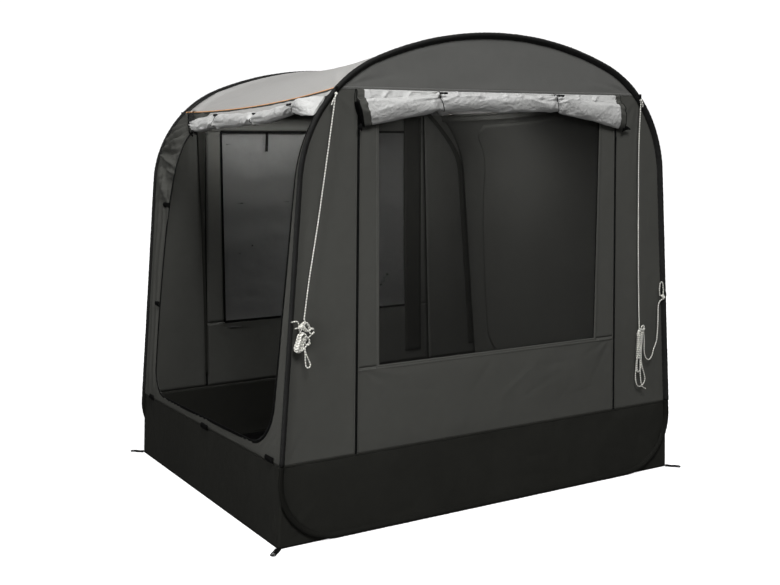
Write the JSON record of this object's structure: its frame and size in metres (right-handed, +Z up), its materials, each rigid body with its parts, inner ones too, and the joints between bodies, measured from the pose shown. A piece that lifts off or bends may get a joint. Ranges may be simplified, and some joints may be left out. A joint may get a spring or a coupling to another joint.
{
  "type": "pop-up van tent",
  "caption": "Free-standing pop-up annexe tent on two sprung hoops, with mesh windows, a rolled front cover and an open side door.",
  "frame": {"origin": "middle of the footprint, on the ground", "axes": "+Z up; -Y is the front face with the rolled window cover, -X is the side with the open door; the two hoops stand in planes of constant Y"},
  "size_m": [2.2434, 1.7088, 2.0591],
  "materials": {
    "wall_cloth": "matt dark grey coated polyester",
    "mud_cloth": "near-black coated cloth with a slight sheen",
    "roof_cloth": "matt light grey coated polyester",
    "silver_cloth": "silver-grey coated lining, creased",
    "ground_cloth": "black groundsheet",
    "window_mesh": "fine black see-through netting",
    "sleeve": "black sleeve over a sprung steel hoop",
    "zip": "black coil zip on tape",
    "toggle": "black moulded barrel",
    "webbing": "black woven webbing",
    "rope": "off-white braided cord"
  },
  "bodies": {
    "root": {"back_cover": "wall_cloth", "back_gable": "wall_cloth", "back_hoop": "sleeve", "back_mud_wall": "mud_cloth", "back_panel_left": "wall_cloth", "back_panel_right": "wall_cloth", "back_window_mesh": "window_mesh", "back_window_surround": "wall_cloth", "back_zip_left": "zip", "back_zip_right": "zip", "front_cover_roll": "silver_cloth", "front_gable": "wall_cloth", "front_hoop": "sleeve", "front_mud_wall": "mud_cloth", "front_panel_left": "wall_cloth", "front_panel_right": "wall_cloth", "front_toggle_left": "toggle", "front_toggle_right": "toggle", "front_window_mesh": "window_mesh", "front_window_surround": "wall_cloth", "front_zip_left": "zip", "front_zip_right": "zip", "groundsheet": "ground_cloth", "guy_hank_left": "rope", "guy_hank_right": "rope", "guy_loop_back_left": "webbing", "guy_loop_back_right": "webbing", "guy_loop_front_left": "webbing", "guy_loop_front_right": "webbing", "guy_rope_left": "rope", "guy_rope_right": "rope", "guy_tail_left": "rope", "guy_tail_right": "rope", "left_door_roll": "silver_cloth", "left_door_zip": "zip", "left_mud_wall": "mud_cloth", "left_toggle_back": "toggle", "left_toggle_front": "toggle", "left_toggle_middle": "toggle", "left_wall": "wall_cloth", "peg_loop_back_left": "webbing", "peg_loop_back_right": "webbing", "peg_loop_front_left": "webbing", "peg_loop_front_right": "webbing", "right_door": "wall_cloth", "right_door_zip": "zip", "right_mud_wall": "mud_cloth", "right_wall": "wall_cloth", "roof": "roof_cloth"}
  },
  "joints": []
}
